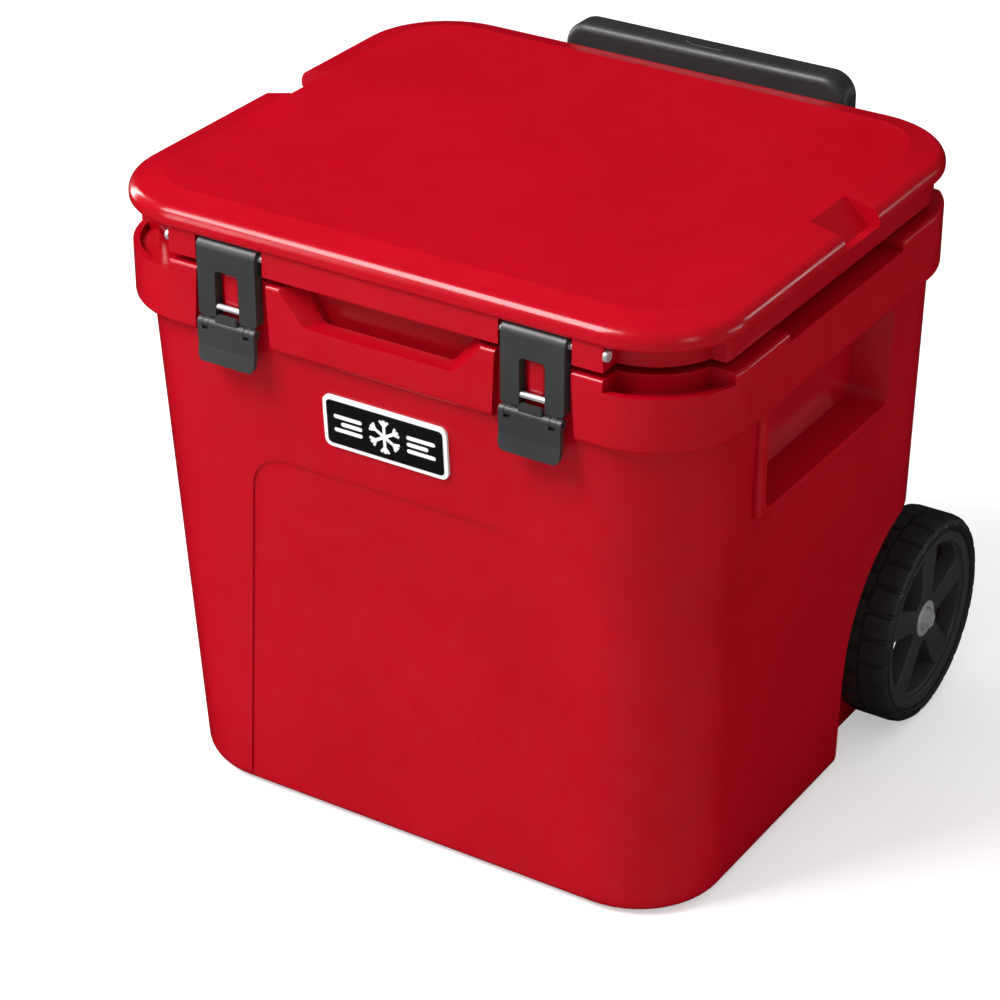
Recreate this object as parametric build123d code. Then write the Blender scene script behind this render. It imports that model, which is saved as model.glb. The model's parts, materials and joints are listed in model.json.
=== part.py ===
from build123d import *
import os
from math import atan, cos, sin, radians

# A wheeled, insulated cooler chest. Millimetres. X runs across, Y from front to back and Z up
# from the floor; X = 0 is the mirror plane and Y = 0 is the middle of the lid.
BASE_HALF, RIM_FOOT_HALF = 228.5, 237.5        # half-widths of the tapered body: floor, under the band
BASE_FRONT, FRONT_LEAN = -180.5, 0.0682        # front wall: y at the floor and its outward lean
BODY_BACK, BAND_BACK = 210.0, 219.0
BAND_HALF, BAND_FRONT, BAND_LOW, RIM_Z = 252.0, -214.0, 409.0, 461.0
FRONT_CORNER, BACK_CORNER, FLOOR_ROUND = 72.0, 50.0, 15.0
WALL = 4.0                                     # moulded wall thickness
GAP = 0.3                                      # foam stands this far clear of the walls

LID_LOW, BEAD_LOW, BEAD_TOP, LID_TOP = 466.5, 486.0, 502.0, 505.8
APRON_HALF, APRON_FRONT, APRON_BACK = 243.0, -213.5, 213.5
BEAD_HALF, BEAD_FRONT, BEAD_BACK = 251.0, -216.5, 218.0
PLATEAU_FOOT, PLATEAU_EDGE = 9.0, 27.0         # how far the raised lid panel stands in from the bead

TUB_FLOOR, TUB_WALL = 42.0, 3.0
TUB_LOW = dict(half=172.0, front=-146.0, back=148.0, corner=32.0)
TUB_TOP = dict(half=184.0, front=-174.0, back=162.0, corner=38.0)
POCKET_LIP = 242.0                             # how far out the lip round each hand pocket stands
MOUTH = dict(half=198.0, front=-188.0, back=176.0, corner=50.0)
PLUG = dict(half=178.0, front=-168.0, back=156.0, corner=34.0)
PLUG_LOW = 450.0
SEAL_OUT = dict(half=195.0, front=-185.0, back=173.0, corner=47.0)
SEAL_IN = dict(half=187.0, front=-177.0, back=165.0, corner=39.0)
SEAL_LIFT = 0.1

LATCH_X, LATCH_HALF, LEG_IN = 127.25, 25.25, 10.25
LATCH_PIN_Y, LATCH_PIN_Z, LATCH_PIN_R = -210.0, 478.4, 2.5
POCKET_FLOOR, ARM_BACK, ARM_FRONT = -208.0, -208.5, -217.0
LEG_LOW, WINDOW_TOP = 426.0, 463.0
KEEPER_HALF, KEEPER_FRONT, KEEPER_LOW, KEEPER_TOP = 7.5, -211.7, 434.0, 460.5
ROD_Y, ROD_Z, ROD_R = -214.4, 434.5, 2.2
PADDLE_Y, PADDLE_Z, PADDLE_ROLL, PADDLE_PIN_R = -216.6, 421.0, 4.0, 1.5
PADDLE_LOW, LIP_Y = 391.5, -222.0
RUN_FIT = 0.05                                 # radial clearance of every turning or sliding fit

HINGE_X, HINGE_Y, HINGE_Z, HINGE_PIN_R = 150.0, 203.0, 471.5, 3.0
RELIEF_Y, RELIEF_Z = 191.0, 451.0

WHEEL_Y, WHEEL_R, RIM_R, WHEEL_IN, WHEEL_OUT = 196.0, 87.0, 75.0, 205.5, 252.0
WHEEL_Z = WHEEL_R
WELL_R, WELL_X, WELL_FRONT = 115.0, 203.0, 80.0
AXLE_R, SLEEVE_R, BUSH_R = 6.0, 8.0, 9.0
SPOKES, SPOKE_TURN = 5, -19.0

TUBE_X, TUBE_Y = 110.0, 254.0
STAGES = dict(outer=(26.0, 20.0, 46.0, 452.0), middle=(22.0, 16.0, 60.0, 466.0), inner=(18.0, 12.0, 74.0, 489.0))
TUBE_WALL = 1.5
GRIP_HALF, GRIP_DEPTH, GRIP_LOW, GRIP_TOP = 126.0, 27.0, 475.0, 507.0
BUTTON_HALF, BUTTON_DEPTH, BUTTON_TRAVEL = 22.0, 12.0, 4.0
UPPER_BRACKET, LOWER_BRACKET = (412.0, 446.0, BAND_BACK), (42.0, 78.0, BODY_BACK)
BRACKET_SCREWS = (-78.0, -33.0, 33.0, 78.0)
SCREW_R = 2.0

BADGE_Z, BADGE_W, BADGE_H, BADGE_T, BADGE_PANEL = 365.0, 105.0, 42.0, 2.2, 0.4
LEAN = atan(FRONT_LEAN)


def save(name, part):
    part.label = name
    export_step(part, f"parts/{name}.step")


def block(x0, x1, y0, y1, z0, z1):
    """A box between two corners."""
    centre = Pos((x0 + x1) / 2, (y0 + y1) / 2, (z0 + z1) / 2)
    return centre * Box(abs(x1 - x0), abs(y1 - y0), abs(z1 - z0))


def rod_x(x0, x1, y, z, radius):
    """A round bar lying along X."""
    return Pos((x0 + x1) / 2, y, z) * Rot(0, 90, 0) * Cylinder(radius, abs(x1 - x0))


def rod_y(x, y0, y1, z, radius):
    """A round bar lying along Y."""
    return Pos(x, (y0 + y1) / 2, z) * Rot(90, 0, 0) * Cylinder(radius, abs(y1 - y0))


def both(part):
    """A feature on the right together with its mirror image on the left."""
    return part + mirror(part, about=Plane.YZ)


def outline(z, half, front, back, corner, back_corner=None, inset=0.0):
    """A rounded plan outline at height z, optionally drawn in by inset."""
    face = Pos(0, (front + back) / 2, z) * Rectangle(2 * (half - inset), back - front - 2 * inset)
    face = fillet(face.vertices().group_by(Axis.Y)[0], corner - inset)
    return fillet(face.vertices().group_by(Axis.Y)[-1], (back_corner or corner) - inset)


def slab(z0, z1, shape, inset=0.0):
    """A straight-sided plate with one of the named plan outlines."""
    return extrude(outline(z0, inset=inset, **shape), z1 - z0)


def front_y(z):
    return BASE_FRONT - FRONT_LEAN * z


def face_of(yz_points, x0, x1, radius=0.0):
    """A prism along X with a section given in Y and Z."""
    section = Plane.YZ * make_face(Polyline(*yz_points, close=True))
    if radius:
        section = fillet(section.vertices(), radius)
    return Pos(min(x0, x1), 0, 0) * extrude(section, abs(x1 - x0))


# ---------------------------------------------------------------- body

BAND = dict(half=BAND_HALF, front=BAND_FRONT, back=BAND_BACK, corner=76.0, back_corner=76.0)


def body_form(inset):
    """The outside of the body, drawn in by inset: leaning tub with the rim band round its top."""
    low = outline(inset, BASE_HALF, BASE_FRONT, BODY_BACK, FRONT_CORNER, BACK_CORNER, inset)
    top = outline(RIM_Z - inset, RIM_FOOT_HALF + 1.1, front_y(RIM_Z), BODY_BACK, FRONT_CORNER, BACK_CORNER, inset)
    tub = loft([low, top])
    tub = fillet(tub.edges().group_by(Axis.Z)[0], FLOOR_ROUND - inset)
    band = slab(BAND_LOW + inset, RIM_Z - inset, BAND, inset)
    band = fillet(band.edges().group_by(Axis.Z)[0], 5.0)
    if not inset:
        band = fillet(band.edges().group_by(Axis.Z)[-1], 3.0)
    return tub + band + pocket_surround(inset)


def latch_slots(grow):
    """Slots down the band that the latches lie in, widening downwards."""
    section = Plane.XZ * make_face(Polyline(
        (95.7 - grow, RIM_Z + 9), (92.8 - grow, BAND_LOW - 5 - grow),
        (159.6 + grow, BAND_LOW - 5 - grow), (154.8 + grow, RIM_Z + 9), close=True))
    slot = Pos(0, POCKET_FLOOR + grow, 0) * extrude(section, 30)
    return both(slot)


def finger_recess(grow):
    """A flared hollow in the middle of the band for lifting the lid."""
    def section(y, half_top, half_floor, floor):
        top = RIM_Z + 9
        spread = (half_top - half_floor) / (RIM_Z - floor)
        wide = half_top + 9 * spread + grow
        face = make_face(Polyline((-wide, top), (-half_floor - grow, floor - grow),
                                  (half_floor + grow, floor - grow), (wide, top), close=True))
        face = fillet(face.vertices().group_by(Axis.Y)[0], 7.0)
        return Pos(0, y, 0) * Rot(90, 0, 0) * face
    ledge = loft([section(-216.0, 87.0, 64.0, 435.5), section(-199.0 + grow, 73.0, 53.0, 437.0)])
    trough = loft([section(-200.0, 71.0, 50.0, 427.0), section(-193.0 + grow, 70.0, 49.0, 427.0)])
    return ledge + trough


def corner_recess(low_outer, low_inner, high, grow):
    """The notch that runs round each front corner between body and lid."""
    zone = block(180 - grow, 262, -262, -156 + grow, low_outer - grow, high)
    core = slab(low_outer - 20, high + 5, BAND, 19.0 + grow)
    notch = zone - core
    if low_inner is not None:
        trench = block(180 - grow, 262, -262, -156 + grow, low_inner - grow, high)
        ring = slab(low_inner - 10, high + 5, BAND, 5.0 - grow) - slab(low_inner - 20, high + 10, BAND, 19.0 + grow)
        notch = notch + (trench & ring)
    return both(notch)


def side_face(x, points, radius):
    """A rounded outline given in Y and Z, standing on the plane at x."""
    face = fillet(make_face(Polyline(*points, close=True)).vertices(), radius)
    return Plane((x, 0, 0), x_dir=(0, 1, 0), z_dir=(1, 0, 0)) * face


def hand_pocket(grow):
    """A side pocket that dips in and then up behind the band, to lift by."""
    g = grow
    outer = side_face(243.0, [(-90 - g, 322 - g), (106 + g, 322 - g), (106 + g, 420 + g),
                              (-54 - g, 420 + g), (-90 - g, 398)], 9.0)
    inner = side_face(214.0 - g, [(-72 - g, 327 - g), (96 + g, 327 - g), (96 + g, 420 + g),
                                  (-46 - g, 420 + g), (-72 - g, 404)], 9.0)
    grip = block(214 - g, 236 + g, -46 - g, 88 + g, 410, 446 + g)
    return both(loft([outer, inner]) + grip)


def pocket_surround(inset):
    """The raised lip round a hand pocket, flush with the hang of the band above it."""
    points = [(-98 + inset, 313 + inset), (114 - inset, 313 + inset), (114 - inset, 425), (-62, 425), (-98 + inset, 404)]
    low = side_face(226.0, points, 12.0)
    pad = extrude(low, POCKET_LIP - inset - 226.0)
    if not inset:
        pad = fillet(pad.edges().group_by(Axis.X)[-1], 3.5)
    return both(pad)


def wheel_well(grow):
    """Room for each wheel, cut from the rear lower corner of the body."""
    arch = rod_x(WELL_X - grow, 262, WHEEL_Y, WHEEL_Z, WELL_R + grow)
    foot = block(WELL_X - grow, 262, WELL_FRONT - grow, 300, -5, WHEEL_Z)
    return both(arch + foot)


def body_cuts(grow):
    side_slot = both(block(225 - grow, 262, -84 - grow, 92 + grow, 454 - grow, 470))
    relief = block(-262, 262, RELIEF_Y - grow, 262, RELIEF_Z - grow, 480)
    return (latch_slots(grow) + finger_recess(grow) + corner_recess(452, 447, 470, grow)
            + hand_pocket(grow) + wheel_well(grow) + side_slot + relief)


def front_plane(z):
    return Plane((0, front_y(z), z), x_dir=(1, 0, 0), z_dir=(0, -cos(LEAN), -sin(LEAN)))


def arch_panel():
    """The shallow panel pressed into the front, open at the floor."""
    face = make_face(Polyline((-154, -12), (-121, 316), (121, 316), (154, -12), close=True))
    face = fillet(face.vertices().group_by(Axis.Y)[-1], 32.0)
    return front_plane(0) * extrude(Pos(0, 0, -1.3) * face, 6)


def foot_pads(radius, height):
    pad = Pos(150, -110, height / 2) * Cylinder(radius, height)
    return both(pad)


def bracket_screw_shanks(bracket, radius, length):
    low, high, wall = bracket
    z = (low + high) / 2
    bars = [rod_y(x, wall + 6 - length, wall + 6, z, radius) for x in BRACKET_SCREWS]
    return Part() + bars


def hinge_screw_shanks(radius, depth):
    bars = [Pos(HINGE_X + dx, HINGE_Y - 2, RELIEF_Z + 4 - depth / 2) * Cylinder(radius, depth) for dx in (-26, 26)]
    return both(Part() + bars)


def tub_form(grow, top):
    """The inside of the tub, grown outwards by grow."""
    low = outline(TUB_FLOOR - grow, inset=-grow, **TUB_LOW)
    high = outline(top, inset=-grow, **TUB_TOP)
    form = loft([low, high])
    return fillet(form.edges().group_by(Axis.Z)[0], 18.0)


def drilled(part, radius):
    """The part with a hole for every screw that goes into the body, drilled one by one."""
    for low, high, wall in (UPPER_BRACKET, LOWER_BRACKET):
        for x in BRACKET_SCREWS:
            part = part - rod_y(x, wall - 18, wall + 6, (low + high) / 2, radius)
    return part - hinge_screw_shanks(radius, 18)


def body_parts():
    outside = body_form(0) - body_cuts(0) - arch_panel()
    hollow = body_form(WALL) - body_cuts(WALL)
    shell = outside - hollow - slab(RIM_Z - WALL - 1, RIM_Z + 1, MOUTH)
    shell = shell - foot_pads(16.05, 9) - rod_x(-230, 230, WHEEL_Y, WHEEL_Z, SLEEVE_R + RUN_FIT)
    save("body_shell", drilled(shell, SCREW_R + RUN_FIT))

    flange = slab(RIM_Z - WALL, RIM_Z, MOUTH, 0.3)
    save("body_liner", tub_form(TUB_WALL, RIM_Z) + flange - tub_form(0, RIM_Z + 0.01))

    foam = body_form(WALL + GAP) - body_cuts(WALL + GAP) - tub_form(TUB_WALL + GAP, RIM_Z + 1)
    foam = foam - rod_x(-230, 230, WHEEL_Y, WHEEL_Z, SLEEVE_R + 0.5)
    save("body_foam", drilled(foam, SCREW_R + 0.5))
    save("foot_pads", foot_pads(16.0, WALL))


def keeper():
    block_ = block(LATCH_X - KEEPER_HALF, LATCH_X + KEEPER_HALF, KEEPER_FRONT, POCKET_FLOOR, KEEPER_LOW, KEEPER_TOP)
    return chamfer(block_.faces().sort_by(Axis.Y)[0].edges(), 1.6)


def badge():
    """A nameplate: a plate that shows as a border, a panel on it, and an ice crystal between bars."""
    at = front_plane(BADGE_Z)
    plate = extrude(RectangleRounded(BADGE_W, BADGE_H, 6), BADGE_T)
    panel = extrude(RectangleRounded(BADGE_W - 6.4, BADGE_H - 6.4, 3.5), BADGE_PANEL)
    arm = Rectangle(2.4, 27)
    barb = Pos(0, 8.6) * (Rot(0, 0, 50) * Pos(2.6, 0) * Rectangle(5.6, 2) + Rot(0, 0, 130) * Pos(2.6, 0) * Rectangle(5.6, 2))
    crystal = Sketch() + [Rot(0, 0, 60 * i) * (arm + barb) for i in range(6)]
    bars = Sketch() + [Pos(s * x, y) * RectangleRounded(w, 3, 1.4) for s in (-1, 1)
                       for x, y, w in ((31, 5.5, 24), (28, 0, 18), (31, -5.5, 24))]
    emblem = Pos(0, 0, BADGE_T + BADGE_PANEL) * extrude(crystal + bars, 0.3)
    save("badge_plate", at * plate)
    save("badge_panel", at * Pos(0, 0, BADGE_T) * panel)
    save("badge_emblem", at * emblem)


# ---------------------------------------------------------------- lid

APRON = dict(half=APRON_HALF, front=APRON_FRONT, back=APRON_BACK, corner=70.0)
BEAD = dict(half=BEAD_HALF, front=BEAD_FRONT, back=BEAD_BACK, corner=75.0)


def lid_form(inset):
    """The outside of the lid: an apron, a fat bead over it, and a raised top panel."""
    apron = slab(LID_LOW + inset, BEAD_TOP - 5, APRON, inset)
    bead = slab(BEAD_LOW + inset, BEAD_TOP - inset, BEAD, inset)
    bead = fillet(bead.edges().group_by(Axis.Z)[-1], 10.0 - inset)
    if not inset:
        bead = fillet(bead.edges().group_by(Axis.Z)[0], 4.0)
    panel = loft([outline(BEAD_TOP - inset - 0.2, inset=PLATEAU_FOOT + inset, **BEAD),
                  outline(LID_TOP - inset, inset=PLATEAU_EDGE + inset, **BEAD)])
    return apron + bead + panel


def lid_notches(grow):
    """Saddle notches through the bead on both sides."""
    section = Plane.XZ * make_face(Polyline(
        (221 - grow, 507), (242.5 - grow, 487 - grow), (262, 484 - grow), (262, 507), close=True))
    return both(Pos(0, 51 + grow, 0) * extrude(section, 53 + 2 * grow))


def latch_sockets(grow):
    top = LATCH_PIN_Z + 7.4
    return both(block(98 - grow, 156 + grow, -232, LATCH_PIN_Y + 7.5 + grow, 455, top + grow))


def hinge_sockets(grow):
    barrel = rod_x(130 - grow, 170 + grow, HINGE_Y, HINGE_Z, 8.2 + grow)
    rear = block(130 - grow, 170 + grow, HINGE_Y - 6.9 - grow, 230, 455, HINGE_Z + 8 + grow)
    return both(barrel + rear)


def lid_cuts(grow):
    return (lid_notches(grow) + latch_sockets(grow) + hinge_sockets(grow)
            + corner_recess(455, None, BEAD_LOW + 0.5 + grow, grow))


def pin_bosses(grow):
    latch = rod_x(90 - grow, 181 + grow, LATCH_PIN_Y, LATCH_PIN_Z, 6.5 + grow)
    hinge = rod_x(120 - grow, 180 + grow, HINGE_Y, HINGE_Z, 8.0 + grow)
    return both(latch + hinge)


def pin_bores(extra):
    latch = rod_x(94, 190, LATCH_PIN_Y, LATCH_PIN_Z, LATCH_PIN_R + extra)
    hinge = rod_x(123, 177, HINGE_Y, HINGE_Z, HINGE_PIN_R + extra)
    return both(latch + hinge)


def lid_parts():
    outside = lid_form(0) - lid_cuts(0)
    hollow = lid_form(WALL) - lid_cuts(WALL) - pin_bosses(0)
    shell = outside - hollow - slab(LID_LOW - 1, LID_LOW + WALL + 1, MOUTH)
    save("lid_shell", shell - pin_bores(RUN_FIT))

    plate = slab(LID_LOW, LID_LOW + WALL, MOUTH, 0.3)
    plug = fillet(slab(PLUG_LOW, LID_LOW + 1, PLUG).edges().group_by(Axis.Z)[0], 6.0)
    save("lid_liner", plate + plug - slab(PLUG_LOW + TUB_WALL, LID_LOW + WALL + 1, PLUG, TUB_WALL))

    foam = lid_form(WALL + GAP) - lid_cuts(WALL + GAP) - pin_bosses(GAP)
    foam = foam - slab(LID_LOW - 1, LID_LOW + WALL + GAP, BEAD)
    plug_foam = slab(PLUG_LOW + TUB_WALL + GAP, LID_LOW + WALL + GAP + 1, PLUG, TUB_WALL + GAP)
    save("lid_foam", foam + plug_foam)

    seal = slab(RIM_Z + SEAL_LIFT, LID_LOW, SEAL_OUT) - slab(RIM_Z, LID_LOW + 1, SEAL_IN)
    save("lid_gasket", seal)


def hinge_bracket():
    """A block screwed to the rear ledge, with a barrel for the hinge pin."""
    foot = block(HINGE_X - 32, HINGE_X + 32, 193, 209, RELIEF_Z, RELIEF_Z + 4)
    web = block(HINGE_X - 19, HINGE_X + 19, HINGE_Y - 6.5, HINGE_Y + 6.5, RELIEF_Z, HINGE_Z)
    barrel = rod_x(HINGE_X - 19, HINGE_X + 19, HINGE_Y, HINGE_Z, 7.5)
    bore = rod_x(HINGE_X - 30, HINGE_X + 30, HINGE_Y, HINGE_Z, HINGE_PIN_R + RUN_FIT)
    return foot + web + barrel - bore - hinge_screw_shanks(SCREW_R + RUN_FIT, 18)


def hinge_screws():
    heads = [Pos(HINGE_X + dx, HINGE_Y - 2, RELIEF_Z + 4 + 1.1) * Cylinder(3.8, 2.2) for dx in (-26, 26)]
    return both(Part() + heads) + hinge_screw_shanks(SCREW_R, 16)


# ---------------------------------------------------------------- latches

def latch_arm():
    x0, x1 = LATCH_X - LATCH_HALF, LATCH_X + LATCH_HALF
    roll = rod_x(x0, x1, LATCH_PIN_Y, LATCH_PIN_Z, 7.0)
    plate = block(x0, x1, ARM_FRONT, ARM_BACK, LEG_LOW, LATCH_PIN_Z)
    plate = fillet(plate.edges().filter_by(Axis.Y).group_by(Axis.Z)[0], 3.0)
    window = block(LATCH_X - LEG_IN, LATCH_X + LEG_IN, -230, -200, LEG_LOW - 1, WINDOW_TOP)
    window = fillet(window.edges().filter_by(Axis.Y).group_by(Axis.Z)[-1], 3.0)
    ears = Part() + [
        rod_x(x - 2.2, x + 2.2, PADDLE_Y, PADDLE_Z, 3.8)
        + block(x - 2.2, x + 2.2, ARM_FRONT, ARM_FRONT + 4.2, PADDLE_Z, LEG_LOW + 1)
        for x in ear_places()]
    rod_hole = rod_x(x0 + 4, x1 - 4, ROD_Y, ROD_Z, ROD_R + RUN_FIT)
    pin_hole = rod_x(x0 - 1, x1 + 1, LATCH_PIN_Y, LATCH_PIN_Z, LATCH_PIN_R + RUN_FIT)
    paddle_hole = rod_x(x0, x1, PADDLE_Y, PADDLE_Z, PADDLE_PIN_R + RUN_FIT)
    return roll + plate - window + ears - rod_hole - pin_hole - paddle_hole


def ear_places():
    return (LATCH_X - 18, LATCH_X + 18)


def latch_paddle():
    """A finger plate that turns on its roll, with a tongue up between the arm's legs."""
    x0, x1 = LATCH_X - LATCH_HALF + 0.5, LATCH_X + LATCH_HALF - 0.5
    roll = rod_x(x0, x1, PADDLE_Y, PADDLE_Z, PADDLE_ROLL)
    y = PADDLE_Y
    plate = face_of([(y - 4, PADDLE_Z), (y - 3.6, 404), (LIP_Y, PADDLE_LOW), (LIP_Y + 3, PADDLE_LOW - 0.5),
                     (y + 0.4, 404), (y + 0.4, PADDLE_Z)], x0, x1)
    face = Plane.XZ * Pos((x0 + x1) / 2, (PADDLE_LOW - 1 + PADDLE_Z + 8) / 2) * RectangleRounded(
        x1 - x0, PADDLE_Z + 8 - PADDLE_LOW + 1, 7.5)
    plate = plate & (Pos(0, -200, 0) * extrude(face, 30))
    tongue = block(LATCH_X - 9.4, LATCH_X + 9.4, y - 3, y + 0.4, PADDLE_Z, 429.6)
    tongue = fillet(tongue.edges().filter_by(Axis.Y).group_by(Axis.Z)[-1], 2.5)
    slots = Part() + [block(x - 2.6, x + 2.6, y - 8, y + 8, PADDLE_Z - 4.6, PADDLE_Z + 6) for x in ear_places()]
    bore = rod_x(x0 - 1, x1 + 1, PADDLE_Y, PADDLE_Z, PADDLE_PIN_R + RUN_FIT)
    return roll + plate + tongue - slots - bore


def latch_parts(side, place):
    x0, x1 = LATCH_X - LATCH_HALF, LATCH_X + LATCH_HALF
    head = fillet(rod_x(180, 183.4, LATCH_PIN_Y, LATCH_PIN_Z, 4.2).edges().group_by(Axis.X)[-1], 1.5)
    save(f"latch_keeper_{side}", place(keeper()))
    save(f"latch_pin_{side}", place(rod_x(94.5, 181, LATCH_PIN_Y, LATCH_PIN_Z, LATCH_PIN_R) + head))
    save(f"latch_arm_{side}", place(latch_arm()))
    save(f"latch_catch_rod_{side}", place(rod_x(x0 + 4.2, x1 - 4.2, ROD_Y, ROD_Z, ROD_R)))
    save(f"latch_paddle_pin_{side}", place(rod_x(x0 + 2, x1 - 2, PADDLE_Y, PADDLE_Z, PADDLE_PIN_R)))
    save(f"latch_paddle_{side}", place(latch_paddle()))
    save(f"hinge_bracket_{side}", place(hinge_bracket()))
    save(f"hinge_pin_{side}", place(rod_x(HINGE_X - 26, HINGE_X + 26, HINGE_Y, HINGE_Z, HINGE_PIN_R)))


# ---------------------------------------------------------------- wheels

def disc(x0, x1, radius, bore=0.0):
    """A round plate or ring about the wheel's axle."""
    ring = rod_x(x0, x1, WHEEL_Y, WHEEL_Z, radius)
    return ring - rod_x(x0 - 1, x1 + 1, WHEEL_Y, WHEEL_Z, bore) if bore else ring


def tyre():
    ring = disc(WHEEL_IN, WHEEL_OUT, WHEEL_R)
    ring = fillet(ring.edges().filter_by(GeomType.CIRCLE), 7.0)
    return ring - disc(WHEEL_IN - 1, WHEEL_OUT + 1, RIM_R)


def spoke_window():
    half_angle = radians(180 / SPOKES)
    inner, outer, spoke = 22.0, 63.5, 9.0
    reach = 90.0
    wedge = make_face(Polyline((spoke / sin(half_angle), 0),
                               (reach * cos(half_angle) + 6, reach * sin(half_angle) - 14),
                               (reach * cos(half_angle) + 6, -reach * sin(half_angle) + 14), close=True))
    window = (Circle(outer) - Circle(inner)) & wedge
    return fillet(window.vertices(), 3.5)


def wheel_rim():
    turned = disc(WHEEL_IN + 2, WHEEL_OUT - 2.5, RIM_R - 0.03, 66.0)
    plate = disc(232, 246, 67.0) + disc(207, 246, 19.0)
    plane = Plane((225, WHEEL_Y, WHEEL_Z), x_dir=(0, 1, 0), z_dir=(1, 0, 0))
    for i in range(SPOKES):
        window = plane * Rot(0, 0, SPOKE_TURN + i * 360 / SPOKES) * extrude(spoke_window(), 30)
        plate = plate - window
    return turned + plate - disc(200, 260, BUSH_R + 0.03) - disc(244, 260, 15.03)


def wheel_parts(side, place):
    bush = disc(206.5, 224, BUSH_R, AXLE_R + RUN_FIT)
    outer_bush = disc(228, 243.9, BUSH_R, AXLE_R + RUN_FIT)
    save(f"tyre_{side}", place(tyre()))
    save(f"wheel_rim_{side}", place(wheel_rim()))
    save(f"wheel_bushes_{side}", place(bush + outer_bush))
    save(f"hub_ring_{side}", place(disc(244, 246.4, 15.0, 9.5)))


def axle_parts():
    threads = both(rod_x(226, 245, WHEEL_Y, WHEEL_Z, 3.5 + RUN_FIT))
    save("axle", rod_x(-244, 244, WHEEL_Y, WHEEL_Z, AXLE_R) - threads)
    save("axle_sleeve", rod_x(-203, 203, WHEEL_Y, WHEEL_Z, SLEEVE_R) - rod_x(-204, 204, WHEEL_Y, WHEEL_Z, AXLE_R + RUN_FIT))
    save("axle_inner_washers", both(disc(203.1, 205.3, 14.0, AXLE_R + 0.1)))
    save("axle_outer_washers", both(disc(244.1, 246.2, 9.0, 3.6)))
    plane = Plane((246.3, WHEEL_Y, WHEEL_Z), x_dir=(0, 1, 0), z_dir=(1, 0, 0))
    head = plane * extrude(RegularPolygon(7.0, 6), 5.2)
    save("axle_bolts", both(head + rod_x(228, 247, WHEEL_Y, WHEEL_Z, 3.5)))


# ---------------------------------------------------------------- handle

def tube(width, depth, low, high, wall=TUBE_WALL):
    def bar(inset):
        return extrude(RectangleRounded(width - 2 * inset, depth - 2 * inset, 4 - inset), high - low)
    return Pos(TUBE_X, TUBE_Y, low) * (bar(0) - bar(wall))


def tube_bore(stage, low, high):
    width, depth = STAGES[stage][:2]
    section = RectangleRounded(width + 2 * RUN_FIT, depth + 2 * RUN_FIT, 4 + RUN_FIT)
    return Pos(TUBE_X, TUBE_Y, low) * extrude(section, high - low)


def collar(stage, low, high, foot, width, depth):
    """A guide ring on top of a tube: its lower part holds the tube, its upper part guides the next."""
    outside = Pos(TUBE_X, TUBE_Y, low) * extrude(RectangleRounded(width, depth, 6), high - low)
    guided = {"outer": "middle", "middle": "inner"}[stage]
    return outside - tube_bore(stage, low - 1, foot) - tube_bore(guided, low - 1, high + 1)


def tube_bracket(bracket, closed_floor):
    low, high, wall = bracket
    plate = block(-134, 134, wall, wall + 6, low, high)
    plate = fillet(plate.edges().filter_by(Axis.Y), 8.0)
    socket = block(TUBE_X - 18, TUBE_X + 18, wall, 269, low, high)
    socket = fillet(socket.edges().filter_by(Axis.Z).group_by(Axis.Y)[-1], 7.0)
    hole = tube_bore("outer", STAGES["outer"][2] if closed_floor else low - 1, high + 1)
    return plate + both(socket - hole) - bracket_screw_shanks(bracket, SCREW_R + RUN_FIT, 24)


def bracket_screws():
    screws = Part()
    for bracket in (UPPER_BRACKET, LOWER_BRACKET):
        low, high, wall = bracket
        z = (low + high) / 2
        screws += [rod_y(x, wall + 6, wall + 8.4, z, 3.8) for x in BRACKET_SCREWS]
        screws += bracket_screw_shanks(bracket, SCREW_R, 22)
    return screws


def button_form(grow, low, high):
    half, depth = BUTTON_HALF + grow, BUTTON_DEPTH / 2 + grow
    face = make_face(Polyline((-half, 0), (-half + 8, depth), (half - 8, depth), (half, 0),
                              (half - 8, -depth), (-half + 8, -depth), close=True))
    return Pos(0, TUBE_Y, low) * extrude(face, high - low)


def grip():
    y0, y1 = TUBE_Y - GRIP_DEPTH / 2, TUBE_Y + GRIP_DEPTH / 2
    bar = block(-GRIP_HALF, GRIP_HALF, y0, y1, GRIP_LOW, GRIP_TOP)
    bar = fillet(bar.edges().filter_by(Axis.Y).group_by(Axis.Z)[-1], 20.0)
    bar = fillet(bar.faces().sort_by(Axis.Y)[0].edges() + bar.faces().sort_by(Axis.Y)[-1].edges(), 6.5)
    sockets = both(tube_bore("inner", GRIP_LOW - 1, STAGES["inner"][3]))
    return bar - sockets - button_form(0.3, GRIP_TOP - 14, GRIP_TOP + 2)


def handle_parts():
    for side, place in SIDES:
        for stage, (width, depth, low, high) in STAGES.items():
            save(f"handle_{stage}_tube_{side}", place(tube(width, depth, low, high)))
        save(f"handle_outer_collar_{side}", place(collar("outer", 446.1, 462, 452.05, 32, 26)))
        save(f"handle_middle_collar_{side}", place(collar("middle", 462.1, 474, 466.05, 27, 21)))
    save("handle_upper_bracket", tube_bracket(UPPER_BRACKET, False))
    save("handle_lower_bracket", tube_bracket(LOWER_BRACKET, True))
    save("handle_bracket_screws", bracket_screws())
    save("handle_grip", grip())
    save("handle_button", button_form(0, GRIP_TOP - 9, GRIP_TOP + 0.3))


def keep(part):
    return part


def flip(part):
    return mirror(part, about=Plane.YZ)


SIDES = (("right", keep), ("left", flip))

os.makedirs("parts", exist_ok=True)
body_parts()
lid_parts()
badge()
for side, place in SIDES:
    latch_parts(side, place)
    wheel_parts(side, place)
save("hinge_screws", hinge_screws())
axle_parts()
handle_parts()
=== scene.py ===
import json
import math

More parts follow.
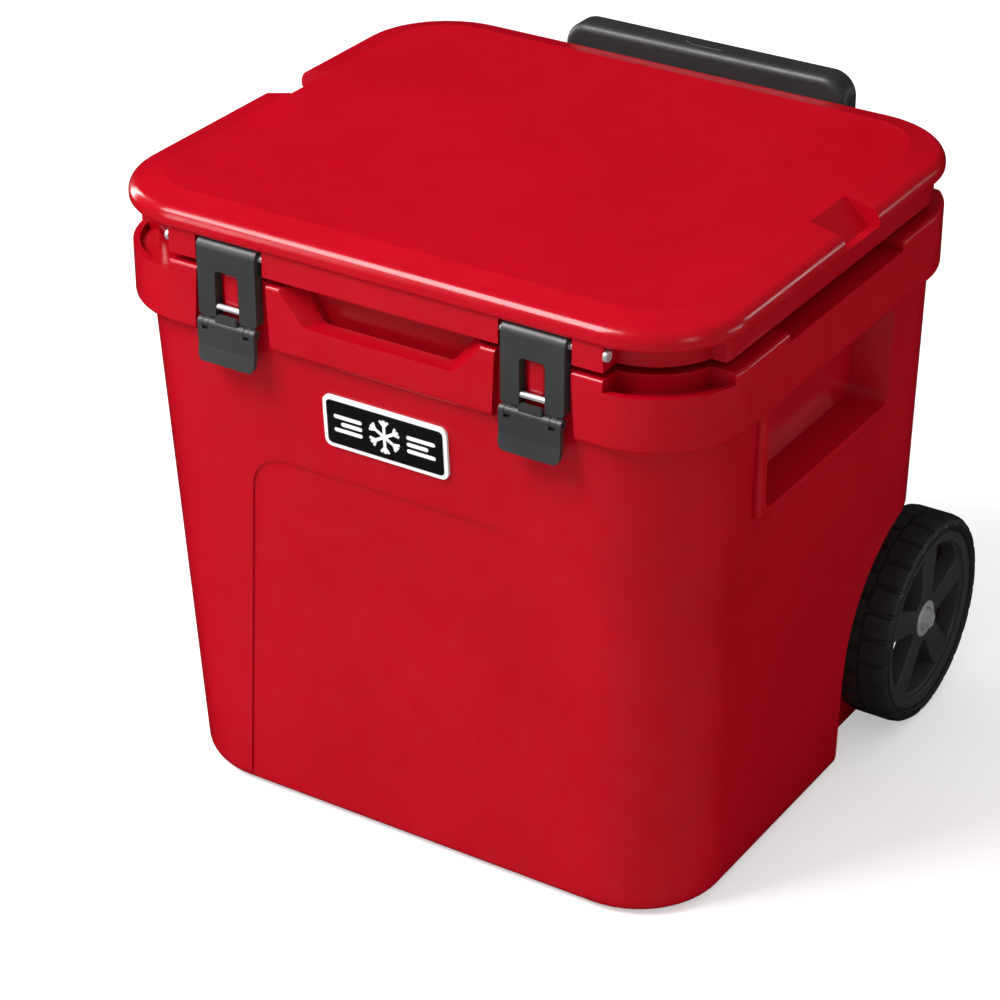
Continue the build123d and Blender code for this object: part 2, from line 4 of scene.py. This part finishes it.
import bmesh
import bpy
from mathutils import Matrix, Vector


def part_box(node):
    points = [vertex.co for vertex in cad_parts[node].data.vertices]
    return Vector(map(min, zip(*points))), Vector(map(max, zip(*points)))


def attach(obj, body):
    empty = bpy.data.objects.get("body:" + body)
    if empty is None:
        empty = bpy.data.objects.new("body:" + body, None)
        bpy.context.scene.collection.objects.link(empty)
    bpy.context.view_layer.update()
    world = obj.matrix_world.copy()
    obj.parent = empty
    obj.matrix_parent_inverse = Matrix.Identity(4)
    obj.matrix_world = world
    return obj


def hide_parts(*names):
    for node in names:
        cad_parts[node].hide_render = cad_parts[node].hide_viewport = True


# The looks of a wheeled cooler chest: glossy moulded red, satin black latches, treaded tyres.
# Metres, in the CAD frame: +X across, +Y back, +Z up.
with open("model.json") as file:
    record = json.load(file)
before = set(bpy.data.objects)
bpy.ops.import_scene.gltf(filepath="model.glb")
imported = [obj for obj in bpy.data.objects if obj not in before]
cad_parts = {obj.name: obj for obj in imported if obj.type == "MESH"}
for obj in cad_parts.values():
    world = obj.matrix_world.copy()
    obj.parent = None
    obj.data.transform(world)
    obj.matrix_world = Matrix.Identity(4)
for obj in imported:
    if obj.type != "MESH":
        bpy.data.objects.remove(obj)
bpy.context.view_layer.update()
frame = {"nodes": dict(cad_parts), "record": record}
MM = 0.001


# ---------------------------------------------------------------- materials

class Nodes:
    """Short names for building a node material."""

    def __init__(self, name):
        self.material = bpy.data.materials.new(name)
        self.material.use_nodes = True
        self.tree = self.material.node_tree
        self.shader = self.tree.nodes["Principled BSDF"]
        self.place = self.tree.nodes.new("ShaderNodeTexCoord").outputs["Object"]

    def node(self, kind, **values):
        made = self.tree.nodes.new(kind)
        for key, value in values.items():
            setattr(made, key, value)
        return made

    def link(self, out, into):
        self.tree.links.new(out, into)

    def noise(self, scale, detail=3.0, rough=0.55):
        made = self.node("ShaderNodeTexNoise")
        self.link(self.place, made.inputs["Vector"])
        made.inputs["Scale"].default_value = scale
        made.inputs["Detail"].default_value = detail
        made.inputs["Roughness"].default_value = rough
        return made.outputs["Fac"]

    def spread(self, fac, low, high):
        """Remaps noise, which stays near its middle, to low..high."""
        made = self.node("ShaderNodeMapRange")
        self.link(fac, made.inputs["Value"])
        made.inputs["From Min"].default_value = 0.3
        made.inputs["From Max"].default_value = 0.7
        made.inputs["To Min"].default_value = low
        made.inputs["To Max"].default_value = high
        return made.outputs["Result"]

    def tint(self, fac, dark, light):
        """Colour between dark and light by a factor."""
        made = self.node("ShaderNodeMix", data_type="RGBA")
        self.link(self.spread(fac, 0.0, 1.0), made.inputs["Factor"])
        made.inputs["A"].default_value = (*dark, 1)
        made.inputs["B"].default_value = (*light, 1)
        self.link(made.outputs["Result"], self.shader.inputs["Base Color"])

    def bump(self, layers):
        """Stacks bumps, each (height, strength, depth in metres)."""
        normal = None
        for height, strength, depth in layers:
            made = self.node("ShaderNodeBump")
            made.inputs["Strength"].default_value = strength
            made.inputs["Distance"].default_value = depth
            self.link(height, made.inputs["Height"])
            if normal:
                self.link(normal, made.inputs["Normal"])
            normal = made.outputs["Normal"]
        self.link(normal, self.shader.inputs["Normal"])

    def set(self, **values):
        for key, value in values.items():
            self.shader.inputs[key.replace("_", " ")].default_value = value


def moulded(name, dark, light, rough, wave, grain, specular=0.5):
    """Moulded plastic: slow colour drift, a little waviness, fine grain and uneven gloss."""
    m = Nodes(name)
    m.tint(m.noise(9, 2), dark, light)
    m.link(m.spread(m.noise(60, 4), rough[0], rough[1]), m.shader.inputs["Roughness"])
    m.set(Specular_IOR_Level=specular)
    m.bump([(m.noise(*wave[:2]), wave[2], 0.0006), (m.noise(*grain[:2]), grain[2], 0.00012)])
    return m.material


def metal(name, colour, rough, brushed=900):
    """Turned or drawn metal: fine streaks in the roughness, and dull enough to show its own colour."""
    m = Nodes(name)
    m.tint(m.noise(40, 2), [0.9 * c for c in colour], colour)
    m.set(Metallic=0.6)
    m.link(m.spread(m.noise(brushed, 3), rough[0], rough[1]), m.shader.inputs["Roughness"])
    m.bump([(m.noise(brushed, 2), 0.12, 0.00005)])
    return m.material


def make_materials():
    black, dark = (0.0115, 0.012, 0.013), (0.0075, 0.008, 0.0085)
    return {
        "red_shell": moulded("red_shell", (0.385, 0.0012, 0.0085), (0.425, 0.0016, 0.0105), (0.17, 0.24),
                             (7, 2, 0.08), (420, 2, 0.01), specular=0.35),
        "white_liner": moulded("white_liner", (0.58, 0.59, 0.58), (0.63, 0.64, 0.63), (0.30, 0.42),
                               (9, 2, 0.10), (800, 2, 0.12)),
        "foam": moulded("foam", (0.70, 0.62, 0.38), (0.80, 0.73, 0.50), (0.8, 0.95),
                        (60, 3, 0.4), (420, 4, 0.8)),
        "black_rubber": moulded("black_rubber", dark, black, (0.6, 0.75), (50, 2, 0.1), (1200, 3, 0.35)),
        "badge_black": moulded("badge_black", (0.004, 0.004, 0.004), (0.007, 0.007, 0.007), (0.22, 0.32),
                               (40, 2, 0.05), (900, 2, 0.1)),
        "badge_white": moulded("badge_white", (0.80, 0.80, 0.80), (0.88, 0.88, 0.88), (0.3, 0.4),
                               (40, 2, 0.05), (900, 2, 0.1)),
        "steel": metal("steel", (0.56, 0.57, 0.58), (0.26, 0.42)),
        "bright_steel": metal("bright_steel", (0.70, 0.71, 0.73), (0.26, 0.36)),
        "black_plastic": moulded("black_plastic", (0.024, 0.0245, 0.025), (0.031, 0.0315, 0.032),
                                 (0.38, 0.48), (30, 2, 0.08), (1300, 3, 0.40)),
        "latch_plastic": moulded("latch_plastic", (0.030, 0.031, 0.031), (0.039, 0.040, 0.040),
                                 (0.36, 0.44), (30, 2, 0.08), (1400, 3, 0.35)),
        "wheel_plastic": moulded("wheel_plastic", (0.036, 0.0365, 0.037), (0.044, 0.0445, 0.045),
                                 (0.36, 0.46), (30, 2, 0.08), (1300, 3, 0.35)),
        "tyre": moulded("tyre", (0.016, 0.0162, 0.0165), (0.022, 0.0222, 0.0225), (0.46, 0.58),
                        (70, 2, 0.12), (1100, 3, 0.45)),
        "tube": metal("tube", (0.030, 0.031, 0.033), (0.34, 0.46)),
    }


MATERIALS = make_materials()


def dress(obj, slot):
    obj.data.materials.clear()
    obj.data.materials.append(MATERIALS[slot])


def soften_edges(obj, width, segments=3, angle=28):
    """Rounds the hard moulded edges of a CAD node with modifiers, leaving its own mesh alone."""
    weld = obj.modifiers.new("weld", "WELD")
    weld.merge_threshold = 0.00001
    bevel = obj.modifiers.new("round", "BEVEL")
    bevel.width, bevel.segments = width, segments
    bevel.limit_method, bevel.angle_limit = "ANGLE", math.radians(angle)
    bevel.use_clamp_overlap = True
    bevel.harden_normals = False
    smooth = obj.modifiers.new("smooth normals", "WEIGHTED_NORMAL")
    smooth.keep_sharp = True


for entry in frame["record"]["subparts"]:
    dress(frame["nodes"][entry["node"]], entry["material_slot"])


# ---------------------------------------------------------------- tyres

TREADS = 25                                    # lugs in each of the two rows
SLOT_DEPTH, SLOT_SHARE = 2.6 * MM, 0.10        # slots between lugs, and their share of the pitch


def tyre_profile(x_in, x_out, outer):
    """The tyre's section as (x, radius, row, depth): row 1 or 2 says whose slots cut it, and how deep."""
    inner, middle = outer - 12 * MM, (x_in + x_out) / 2
    points = [
        (x_in + 1.5 * MM, inner, 0, 0), (x_in + 0.4 * MM, inner + 3 * MM, 0, 0),
        (x_in, outer - 7 * MM, 1, 0.4), (x_in + 1.6 * MM, outer - 3.2 * MM, 1, 0.9),
        (x_in + 5 * MM, outer - 0.9 * MM, 1, 1), (x_in + 10 * MM, outer, 1, 1),
        (middle - 5 * MM, outer, 1, 1), (middle - 1.4 * MM, outer, 1, 1),
        (middle - 1.1 * MM, outer - SLOT_DEPTH, 0, 0), (middle + 1.1 * MM, outer - SLOT_DEPTH, 0, 0),
        (middle + 1.4 * MM, outer, 2, 1), (middle + 5 * MM, outer, 2, 1),
        (x_out - 10 * MM, outer, 2, 1), (x_out - 5 * MM, outer - 0.9 * MM, 2, 1),
        (x_out - 1.6 * MM, outer - 3.2 * MM, 2, 0.9), (x_out, outer - 7 * MM, 2, 0.4),
        (x_out - 0.1 * MM, outer - 8.2 * MM, 0, 0), (x_out - 0.9 * MM, outer - 8.6 * MM, 0, 0),
        (x_out - 0.9 * MM, outer - 9.4 * MM, 0, 0), (x_out - 0.1 * MM, outer - 9.8 * MM, 0, 0),
        (x_out - 0.5 * MM, inner + 0.8 * MM, 0, 0), (x_out - 2 * MM, inner, 0, 0)]
    return points


def tyre_ring(bm, points, centre, side, step, steps):
    """One turn's worth of the section, with the slots between the lugs cut into it."""
    turn = 2 * math.pi * step / steps
    ring = []
    for x, radius, row, depth in points:
        phase = (step / steps * TREADS + (0.5 if row == 2 else 0.0)) % 1.0
        if row and phase < SLOT_SHARE:
            radius -= SLOT_DEPTH * depth
        ring.append(bm.verts.new((side * x, centre.y + radius * math.cos(turn),
                                  centre.z + radius * math.sin(turn))))
    return ring


def treaded_tyre(side_name, side):
    """A tyre with two staggered rows of lugs, a groove between them and one round the sidewall."""
    low, high = (Vector(corner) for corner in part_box(f"tyre_{side_name}"))
    centre = (low + high) / 2
    outer = (high.z - low.z) / 2
    x_in, x_out = (low.x, high.x) if side > 0 else (-high.x, -low.x)
    points = tyre_profile(x_in, x_out, outer)
    steps = TREADS * 12
    bm = bmesh.new()
    rings = [tyre_ring(bm, points, centre, side, step, steps) for step in range(steps)]
    for a, b in zip(rings, rings[1:] + rings[:1]):
        for k in range(len(points)):
            after = (k + 1) % len(points)
            bm.faces.new((a[k], a[after], b[after], b[k]))
    bmesh.ops.recalc_face_normals(bm, faces=bm.faces)
    mesh = bpy.data.meshes.new(f"treaded_tyre_{side_name}")
    bm.to_mesh(mesh)
    bm.free()
    obj = bpy.data.objects.new(f"treaded_tyre_{side_name}", mesh)
    bpy.context.collection.objects.link(obj)
    mesh.shade_smooth()
    mesh.set_sharp_from_angle(angle=math.radians(32))
    dress(obj, "tyre")
    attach(obj, f"wheel_{side_name}")
    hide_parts(f"tyre_{side_name}")


for side_name, side in (("right", 1), ("left", -1)):
    treaded_tyre(side_name, side)


# ---------------------------------------------------------------- softened edges

# Edge radii in millimetres, by the start of the node's name.
EDGES = {"body_shell": 0.9, "lid_shell": 1.0, "badge_plate": 0.4, "hinge_bracket": 0.6,
         "latch_arm": 1.3, "latch_paddle": 0.9, "latch_keeper": 1.6,
         "wheel_rim": 0.9, "hub_ring": 0.4, "axle_bolts": 0.5,
         "handle_upper_bracket": 1.2, "handle_lower_bracket": 1.2, "handle_outer_collar": 0.8,
         "handle_middle_collar": 0.8, "handle_grip": 0.6, "handle_button": 0.7}
for name, node in frame["nodes"].items():
    for start, width in EDGES.items():
        if name.startswith(start):
            soften_edges(node, width * MM)


# ---------------------------------------------------------------- stage, light and camera

def floor():
    mesh = bpy.data.meshes.new("floor")
    reach = 40.0
    corners = [(-reach, -reach, 0), (reach, -reach, 0), (reach, reach, 0), (-reach, reach, 0)]
    mesh.from_pydata(corners, [], [(0, 1, 2, 3)])
    obj = bpy.data.objects.new("floor", mesh)
    bpy.context.collection.objects.link(obj)
    m = Nodes("floor_white")
    m.tint(m.noise(2, 2), (0.78, 0.78, 0.78), (0.80, 0.80, 0.80))
    m.set(Roughness=0.9, Emission_Color=(1, 1, 1, 1))
    seen = m.node("ShaderNodeMath", operation="MULTIPLY")
    m.link(m.node("ShaderNodeLightPath").outputs["Is Camera Ray"], seen.inputs[0])
    seen.inputs[1].default_value = 0.42
    m.link(seen.outputs[0], m.shader.inputs["Emission Strength"])
    mesh.materials.append(m.material)
    obj.visible_glossy = False


def area_light(name, place, aim, size, radiance, gloss_only=False):
    """A panel of width by height in metres, whose brightness doesn't change with its size."""
    data = bpy.data.lights.new(name, "AREA")
    data.shape, data.size, data.size_y = "RECTANGLE", *size
    data.energy = radiance * math.pi * size[0] * size[1]
    obj = bpy.data.objects.new(name, data)
    obj.location = place
    obj.rotation_euler = (Vector(aim) - Vector(place)).to_track_quat("-Z", "Y").to_euler()
    obj.visible_diffuse = not gloss_only
    bpy.context.collection.objects.link(obj)


def lights():
    world = bpy.data.worlds.new("studio")
    world.use_nodes = True
    sky = world.node_tree.nodes["Background"]
    sky.inputs["Color"].default_value = (1, 1, 1, 1)
    sky.inputs["Strength"].default_value = 0.68
    bpy.context.scene.world = world
    world.cycles_visibility.glossy = False
    aim = (0, 0, 0.30)
    area_light("key", (-1.3, -1.6, 2.7), aim, (1.5, 1.5), 17)
    area_light("left card", (-2.6, 0.3, 0.9), aim, (0.4, 1.8), 15, gloss_only=True)
    area_light("front card", (-1.6, -2.2, 1.0), aim, (0.25, 1.2), 9, gloss_only=True)
    area_light("back card", (2.1, 2.4, 0.8), aim, (0.35, 0.6), 6, gloss_only=True)
    area_light("right card", (2.8, -1.2, 1.0), aim, (0.5, 1.2), 3, gloss_only=True)
    area_light("wheel card", (1.9, 0.9, 0.25), (0.25, 0.2, 0.09), (0.6, 0.5), 3, gloss_only=True)


def camera():
    """The camera of the reference view."""
    azimuth, elevation, distance = math.radians(32.3), math.radians(29.3), 2.5513
    target = Vector((-0.0623, 0.0429, 0.1764))
    level = math.cos(elevation)
    back = Vector((math.sin(azimuth) * level, -math.cos(azimuth) * level, math.sin(elevation)))
    data = bpy.data.cameras.new("camera")
    data.sensor_width = 36
    data.lens = 3185.7 * 36 / 1000
    obj = bpy.data.objects.new("camera", data)
    obj.location = target + back * distance
    obj.rotation_euler = back.to_track_quat("Z", "Y").to_euler()
    bpy.context.collection.objects.link(obj)
    bpy.context.scene.camera = obj


floor()
lights()
camera()
bpy.context.scene.view_settings.view_transform = "Standard"
